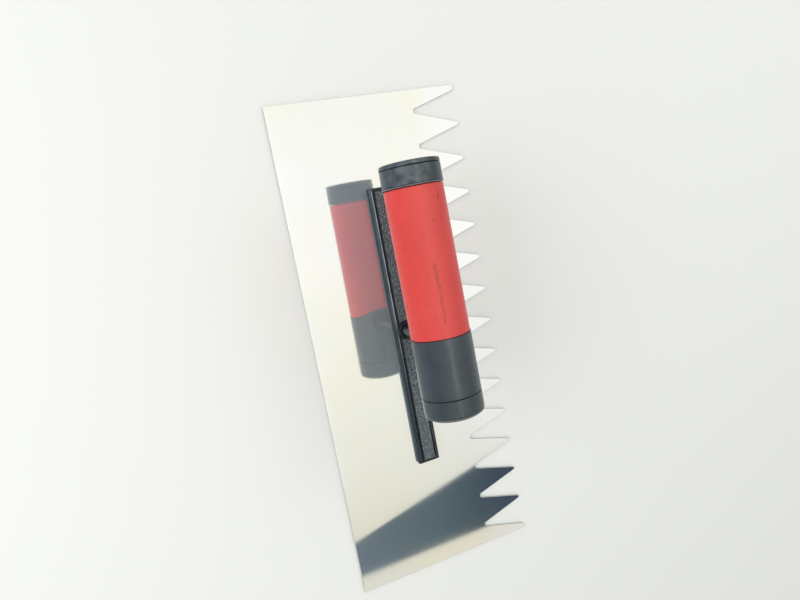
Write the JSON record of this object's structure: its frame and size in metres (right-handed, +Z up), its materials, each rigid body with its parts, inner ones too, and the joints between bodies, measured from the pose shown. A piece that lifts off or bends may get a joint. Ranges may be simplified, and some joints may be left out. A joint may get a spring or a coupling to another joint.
{
  "type": "notched trowel",
  "caption": "Flat rectangular steel blade with deep V notches along a long edge, held by a low bar and a round post under a round rubber-sleeved handle, for spreading adhesive.",
  "frame": {"origin": "centre of the blade's outline on its underside, at the bottom of the bounding box", "axes": "+X along the blade towards the handle's front end, +Y across the blade towards the teeth, +Z up from the blade to the handle"},
  "size_m": [0.28, 0.11, 0.0699],
  "materials": {
    "polished_steel": "mirror-polished stainless steel",
    "plain_steel": "plain machined steel",
    "textured_black_paint": "black wrinkle-textured paint",
    "gloss_black_paint": "smooth glossy black paint",
    "black_plastic": "satin moulded plastic, blue-black",
    "red_rubber": "satin red rubber"
  },
  "bodies": {
    "root": {"blade": "polished_steel", "mounting_bar": "textured_black_paint", "post": "gloss_black_paint", "post_collar": "gloss_black_paint", "handle_core": "black_plastic", "grip_sleeve": "red_rubber", "front_cap": "black_plastic", "rear_cap": "black_plastic", "rear_plug": "black_plastic", "blade_rivet_1": "plain_steel", "blade_rivet_2": "plain_steel", "blade_rivet_3": "plain_steel", "blade_rivet_4": "plain_steel", "blade_rivet_5": "plain_steel", "blade_rivet_6": "plain_steel", "blade_rivet_7": "plain_steel", "blade_rivet_8": "plain_steel", "post_screw": "plain_steel", "lock_washer": "plain_steel", "handle_nut": "plain_steel"}
  },
  "joints": []
}
